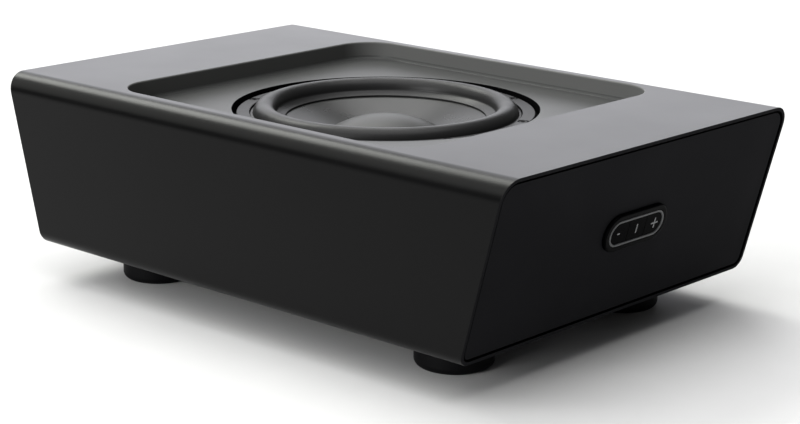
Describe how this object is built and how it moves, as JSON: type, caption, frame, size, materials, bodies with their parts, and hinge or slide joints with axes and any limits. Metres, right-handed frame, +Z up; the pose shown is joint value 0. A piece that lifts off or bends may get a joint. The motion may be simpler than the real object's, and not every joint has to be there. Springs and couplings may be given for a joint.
{
  "type": "subwoofer",
  "caption": "Low, long wireless subwoofer with leaning ends, an upward-firing driver sunk in a tray, round feet and a raised key pod on one end.",
  "frame": {"origin": "on the ground, under the middle of the cabinet", "axes": "+X along the cabinet towards the end with the keys, -Y towards the front, +Z up, the way the driver fires"},
  "size_m": [0.48, 0.31, 0.151],
  "materials": {
    "cabinet_satin_black": "satin, very fine grain",
    "tray_satin_black": "satin, very fine grain",
    "end_panel_matte": "matte",
    "fibreboard": "raw fibreboard",
    "padding": "soft fibre padding",
    "foot_rubber": "matte",
    "zinc_steel": "plain zinc",
    "basket_steel": "pressed steel, dark satin paint",
    "gasket_foam": "matte foam",
    "surround_rubber": "satin",
    "cone_polymer": "satin",
    "former_aluminium": "bare",
    "coil_copper": "lacquered copper wire",
    "spider_cloth": "resin-stiffened cloth",
    "motor_steel": "zinc plated",
    "ferrite": "sintered",
    "terminal_plastic": "matte",
    "black_screw": "black oxide",
    "pod_gloss": "gloss",
    "ring_grey": "translucent grey",
    "key_black": "satin gloss",
    "circuit_board": "solder mask",
    "rear_plate_black": "fine texture",
    "inlet_black": "matte",
    "heat_sink_black": "black anodised",
    "cable_jacket": "soft jacket"
  },
  "bodies": {
    "cabinet": {"outer_sleeve": "cabinet_satin_black", "baffle_tray": "tray_satin_black", "left_end_panel": "end_panel_matte", "right_end_panel": "end_panel_matte", "front_board": "fibreboard", "back_board": "fibreboard", "base_board": "fibreboard", "left_bulkhead": "fibreboard", "right_brace": "fibreboard", "damping_pad_front": "padding", "damping_pad_back": "padding", "driver_basket": "basket_steel", "driver_gasket": "gasket_foam", "surround": "surround_rubber", "spider": "spider_cloth", "top_plate": "motor_steel", "magnet": "ferrite", "yoke": "motor_steel", "terminal_block": "terminal_plastic", "control_bezel": "pod_gloss", "light_ring": "ring_grey", "control_board": "circuit_board", "rear_plate": "rear_plate_black", "mains_inlet": "inlet_black", "amplifier_board": "circuit_board", "power_supply_board": "circuit_board", "heat_sink": "heat_sink_black", "wireless_module": "circuit_board", "speaker_cable": "cable_jacket", "foot_front_left": "foot_rubber", "foot_screw_front_left": "zinc_steel", "foot_front_right": "foot_rubber", "foot_screw_front_right": "zinc_steel", "foot_back_left": "foot_rubber", "foot_screw_back_left": "zinc_steel", "foot_back_right": "foot_rubber", "foot_screw_back_right": "zinc_steel", "driver_screw_1": "black_screw", "driver_screw_2": "black_screw", "driver_screw_3": "black_screw", "driver_screw_4": "black_screw", "driver_screw_5": "black_screw", "driver_screw_6": "black_screw", "driver_screw_7": "black_screw", "driver_screw_8": "black_screw", "rear_plate_screw_1": "black_screw", "rear_plate_screw_2": "black_screw", "rear_plate_screw_3": "black_screw", "rear_plate_screw_4": "black_screw"},
    "driver_cone": {"cone": "cone_polymer", "dust_cap": "cone_polymer", "voice_coil_former": "former_aluminium", "voice_coil": "coil_copper"},
    "minus_key": {"key_minus": "key_black"},
    "power_key": {"key_power": "key_black"},
    "plus_key": {"key_plus": "key_black"}
  },
  "joints": [
    {"name": "cone_travel", "type": "slide", "parent": "cabinet", "child": "driver_cone", "axis": [0, 0, 1], "range_m": [-0.008, 0.008], "stiffness_N_per_m": 4000, "deforming": ["surround", "spider"]},
    {"name": "minus_press", "type": "slide", "parent": "cabinet", "child": "minus_key", "axis": [-0.9647, 0, 0.2634], "range_m": [0, 0.0008], "stiffness_N_per_m": 800},
    {"name": "power_press", "type": "slide", "parent": "cabinet", "child": "power_key", "axis": [-0.9647, 0, 0.2634], "range_m": [0, 0.0008], "stiffness_N_per_m": 800},
    {"name": "plus_press", "type": "slide", "parent": "cabinet", "child": "plus_key", "axis": [-0.9647, 0, 0.2634], "range_m": [0, 0.0008], "stiffness_N_per_m": 800}
  ]
}
